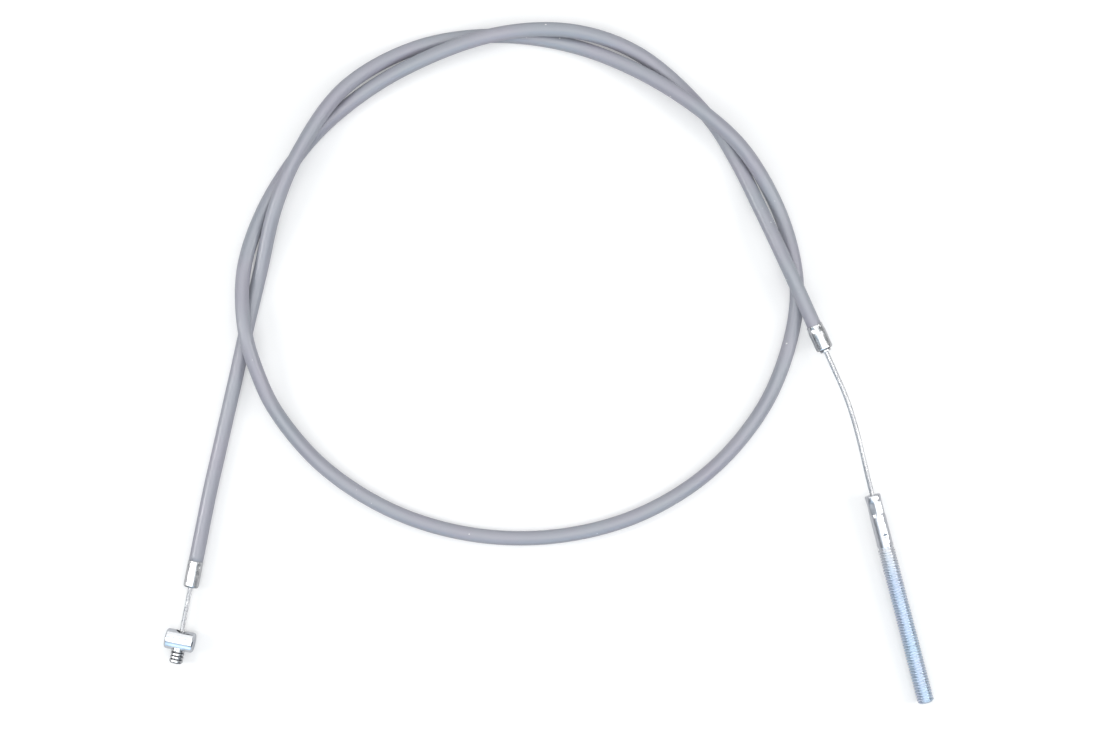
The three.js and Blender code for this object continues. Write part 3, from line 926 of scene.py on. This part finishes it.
def thread_reach(phase):
    """Share of the thread's depth at a place in one pitch: rounded root, flank, rounded crest."""
    flank = 1 - abs(2 * phase - 1)
    lifted = min(1, max(0, (flank - 0.1) / 0.78))
    return lifted * lifted * (3 - 2 * lifted) * 0.35 + lifted * 0.65


def rod_mesh(sides=72, rows_a_pitch=10):
    """The thread's rows lean one pitch in each turn, so that their rings become one helix."""
    turns = round(THREAD_LENGTH / PITCH)
    rows = []
    for i in range(-rows_a_pitch, turns * rows_a_pitch + 1):
        depth = thread_reach((i / rows_a_pitch) % 1)
        rows.append((ROOT_RADIUS + (CREST_RADIUS - ROOT_RADIUS) * depth, i / rows_a_pitch * PITCH))
    length = THREAD_LENGTH + SHANK_LENGTH
    shank = stepped(
        filleted([
            (ROOT_RADIUS, THREAD_LENGTH, 0),
            (SHANK_RADIUS, THREAD_LENGTH + 0.5 * MM, 0.3 * MM),
            (SHANK_RADIUS, length, 0.3 * MM),
            (SHANK_BORE_RADIUS + 0.35 * MM, length, 0),
            (SHANK_BORE_RADIUS, length - 0.5 * MM, 0),
            (SHANK_BORE_RADIUS, length - SHANK_BORE_DEPTH, 0),
            (0, length - SHANK_BORE_DEPTH, 0),
        ]),
        0.3 * MM,
        closed=False,
    )
    rod = bmesh.new()
    grid = []
    for k in range(sides + 1):
        turn = k / sides
        angle = 2 * math.pi * turn
        column = [(0, 0, 0)]
        for radius, height in rows:
            held = min(THREAD_LENGTH, max(0, height + turn * PITCH))
            limited = min(radius, TIP_RADIUS + held, ROOT_RADIUS + THREAD_LENGTH - held)
            column.append((limited * math.cos(angle), limited * math.sin(angle), held))
        for radius, height in shank:
            reach = shank_reach(radius, length - height, angle)
            column.append((reach * math.cos(angle), reach * math.sin(angle), height))
        grid.append([rod.verts.new(p) for p in column])
    for left, right in zip(grid, grid[1:]):
        for i in range(len(left) - 1):
            rod.faces.new((left[i], right[i], right[i + 1], left[i + 1]))
    bmesh.ops.remove_doubles(rod, verts=rod.verts, dist=0.002 * MM)
    bmesh.ops.dissolve_degenerate(rod, edges=rod.edges, dist=0.001 * MM)
    bmesh.ops.recalc_face_normals(rod, faces=rod.faces)
    mesh = bpy.data.meshes.new("rod")
    rod.to_mesh(mesh)
    rod.free()
    return mesh


def shank_reach(radius, depth, angle):
    """The shank's radius, pressed to six sides near the mouth and dented by the jaws below."""
    if radius < SHANK_RADIUS - 0.05 * MM:
        return radius
    side = angle % (math.pi / 3) - math.pi / 6
    flat = HEX_CRIMP_ACROSS / 2 / math.cos(side)
    middle = HEX_CRIMP_START + HEX_CRIMP_LENGTH / 2
    share = min(1, 3 * pressed(depth, middle, HEX_CRIMP_LENGTH / 2))
    reach = radius + min(0, flat - radius) * share
    for place, turn in JAW_MARKS:
        for i in range(2):
            off = angle_from(angle, turn + i * math.pi)
            across = pressed(off, 0, JAW_MARK_HALF_ANGLE)
            reach -= JAW_MARK_DEPTH * across * pressed(depth, place, JAW_MARK_HALF_LENGTH)
    return reach


def rod(plate):
    length = THREAD_LENGTH + SHANK_LENGTH
    place = standing(rod_mouth + rod_axis * length, -rod_axis)
    piece = made("threaded_rod_fine", rod_mesh(), place, plate, 40)
    return belongs(piece, "brake_end", "threaded_rod")


# Floor, lamps and surroundings

FLOOR_SIZE = 3.0
FLOOR_FADE = (0.22, 0.5)  # where the floor starts to fade into the background, and has faded


def floor():
    """A pale table top that keeps the shadows and fades into the white background."""
    mesh = bpy.data.meshes.new("floor")
    half = FLOOR_SIZE / 2
    level = -0.1 * MM
    ends = ((-half, -half), (half, -half), (half, half), (-half, half))
    corners = [(x, y, level) for x, y in ends]
    mesh.from_pydata(corners, [], [(0, 1, 2, 3)])
    top = bpy.data.objects.new("floor", mesh)
    bpy.context.scene.collection.objects.link(top)
    material = bpy.data.materials.new("table_top")
    material.use_nodes = True
    maker = Tree(material.node_tree)
    maker.nodes.clear()
    place = maker.add("ShaderNodeTexCoord").outputs["Object"]
    away = maker.add("ShaderNodeVectorMath", {0: place}, operation="LENGTH").outputs["Value"]
    reach = {0: away, 1: FLOOR_FADE[0], 2: FLOOR_FADE[1]}
    fade = maker.add("ShaderNodeMapRange", reach).outputs[0]
    bounce = maker.add("ShaderNodeBsdfDiffuse", {"Color": (0.8, 0.8, 0.8, 1)})
    lit = maker.add("ShaderNodeBsdfDiffuse", {"Color": (0.75, 0.75, 0.74, 1)})
    lift = maker.add("ShaderNodeEmission", {"Color": (1, 1, 1, 1), "Strength": 0.27})
    white = maker.add("ShaderNodeEmission", {"Color": (1, 1, 1, 1), "Strength": 1.0})
    near = maker.add("ShaderNodeAddShader", {0: lit.outputs[0], 1: lift.outputs[0]})
    shown = maker.add("ShaderNodeMixShader", {0: fade, 1: near.outputs[0], 2: white.outputs[0]})
    path = maker.add("ShaderNodeLightPath").outputs
    mirrored = maker.add("ShaderNodeBsdfDiffuse", {"Color": (0.54, 0.54, 0.55, 1)})
    unseen = maker.add(
        "ShaderNodeMixShader",
        {0: path["Is Glossy Ray"], 1: bounce.outputs[0], 2: mirrored.outputs[0]},
    )
    seen = maker.math("MAXIMUM", path["Is Camera Ray"], path["Is Transmission Ray"])
    both = maker.add("ShaderNodeMixShader", {0: seen, 1: unseen.outputs[0], 2: shown.outputs[0]})
    maker.add("ShaderNodeOutputMaterial", {"Surface": both.outputs[0]})
    mesh.materials.append(material)


def lamp(name, place, target, size, power, colour=(1, 1, 1)):
    """A flat soft lamp of a given width and length that faces its target."""
    data = bpy.data.lights.new(name, "AREA")
    data.shape = "RECTANGLE"
    data.size, data.size_y = size
    data.energy = power
    data.color = colour
    light = bpy.data.objects.new(name, data)
    light.location = place
    light.rotation_euler = (Vector(target) - Vector(place)).to_track_quat("-Z", "Y").to_euler()
    bpy.context.scene.collection.objects.link(light)


def lamps():
    lamp("overhead_front", (0, -0.18, 1.1), (0, -0.18, 0), (1.1, 1.16), 5.6)
    lamp("overhead_back", (0, 0.82, 1.1), (0, 0.82, 0), (1.1, 0.5), 2.2)
    lamp("left", (-0.7, 0, 0.5), (-0.05, 0, 0), (0.25, 0.4), 2.1)
    lamp("right", (0.7, 0, 0.5), (0.05, 0, 0), (0.25, 0.4), 2.1)
    lamp("low_front", (0, -1.1, 0.5), (0, 0, 0), (1.2, 0.5), 1.2, (0.72, 0.86, 1.0))


def surroundings():
    """White where the camera looks, an even light, and for metal a room with bright ends."""
    world = bpy.data.worlds.new("studio")
    world.use_nodes = True
    bpy.context.scene.world = world
    maker = Tree(world.node_tree)
    maker.nodes.clear()
    toward = maker.add("ShaderNodeTexCoord").outputs["Generated"]
    parts = maker.add("ShaderNodeSeparateXYZ", {0: toward}).outputs
    aside = maker.math("ABSOLUTE", parts[0])

    def between(value, low, high):
        return maker.add("ShaderNodeMapRange", {0: value, 1: low, 2: high}).outputs[0]

    ends = maker.mixed(between(parts[1], 0.1, -0.1), (1.05, 1.05, 1.05), (0.62, 0.84, 1.08))
    room = maker.mixed(between(aside, 0.35, 0.7), ends, (0.08, 0.09, 0.11))
    room = maker.mixed(between(parts[2], 0.72, 0.78), room, (0.2, 0.28, 0.36))
    room = maker.mixed(between(parts[2], 0.86, 0.9), room, (0.5, 0.51, 0.53))
    path = maker.add("ShaderNodeLightPath").outputs
    clear = maker.math("MAXIMUM", path["Is Camera Ray"], path["Is Transmission Ray"])
    colour = maker.mixed(path["Is Glossy Ray"], (0.36, 0.38, 0.41), room)
    studio = maker.add("ShaderNodeBackground", {"Color": colour, "Strength": 1.0})
    white = maker.add("ShaderNodeBackground", {"Color": (1, 1, 1, 1), "Strength": 1.0})
    both = maker.add("ShaderNodeMixShader", {0: clear, 1: studio.outputs[0], 2: white.outputs[0]})
    maker.add("ShaderNodeOutputWorld", {"Surface": both.outputs[0]})


# The whole

add_camera()
SLEEVE = sleeve_tree()
STRANDS = strands_tree()

plastic = grey_plastic()
liner = liner_plastic()
drawn_steel = plated("drawn_steel", (0.50, 0.50, 0.50), (0.42, 0.42, 0.43), 0.4)
strand_steel = plated("strand_steel", (0.74, 0.74, 0.74), (0.62, 0.62, 0.63), 0.3)
# Each cap's plate has a painted shade line: at the lever cap's rounded end, and at the brake cap's
# shoulder.
lever_nickel = plated(
    "lever_cap_plate", PALE_NICKEL, DULL_NICKEL, 0.3, scratch=1.6,
    shade_line=(LEVER_CAP_LENGTH - 0.1 * MM, 0.4 * MM),
)
brake_nickel = plated(
    "brake_cap_plate", PALE_NICKEL, DULL_NICKEL, 0.3, scratch=1.6,
    shade_line=(BRAKE_CAP_LENGTH - 0.95 * MM, 0.35 * MM),
)
zinc = plated("zinc_plate", (0.92, 0.94, 0.96), (0.86, 0.88, 0.91), 0.15, turned_lines=0.3)
# The stop's plate has painted shade in the grooves between its ribs.
ribbed_nickel = plated(
    "ribbed_plate", PALE_NICKEL, DULL_NICKEL, 0.24, groove=STOP_RADIUS - 0.05 * MM
)
rod_zinc = blue_zinc()

sheath, sheath_line = housing(plastic, drawn_steel, liner)
wire_line = brake_wire_line()
free_wire = brake_wire(wire_line, strand_steel)
first_cap = lever_cap(lever_nickel)
second_cap = brake_cap(brake_nickel)
housed_wire(strand_steel)
lever_wire(strand_steel)
barrel(zinc)
wire_stop(ribbed_nickel)
rod(rod_zinc)

floor()
lamps()
surroundings()
bpy.context.scene.view_settings.view_transform = "Standard"
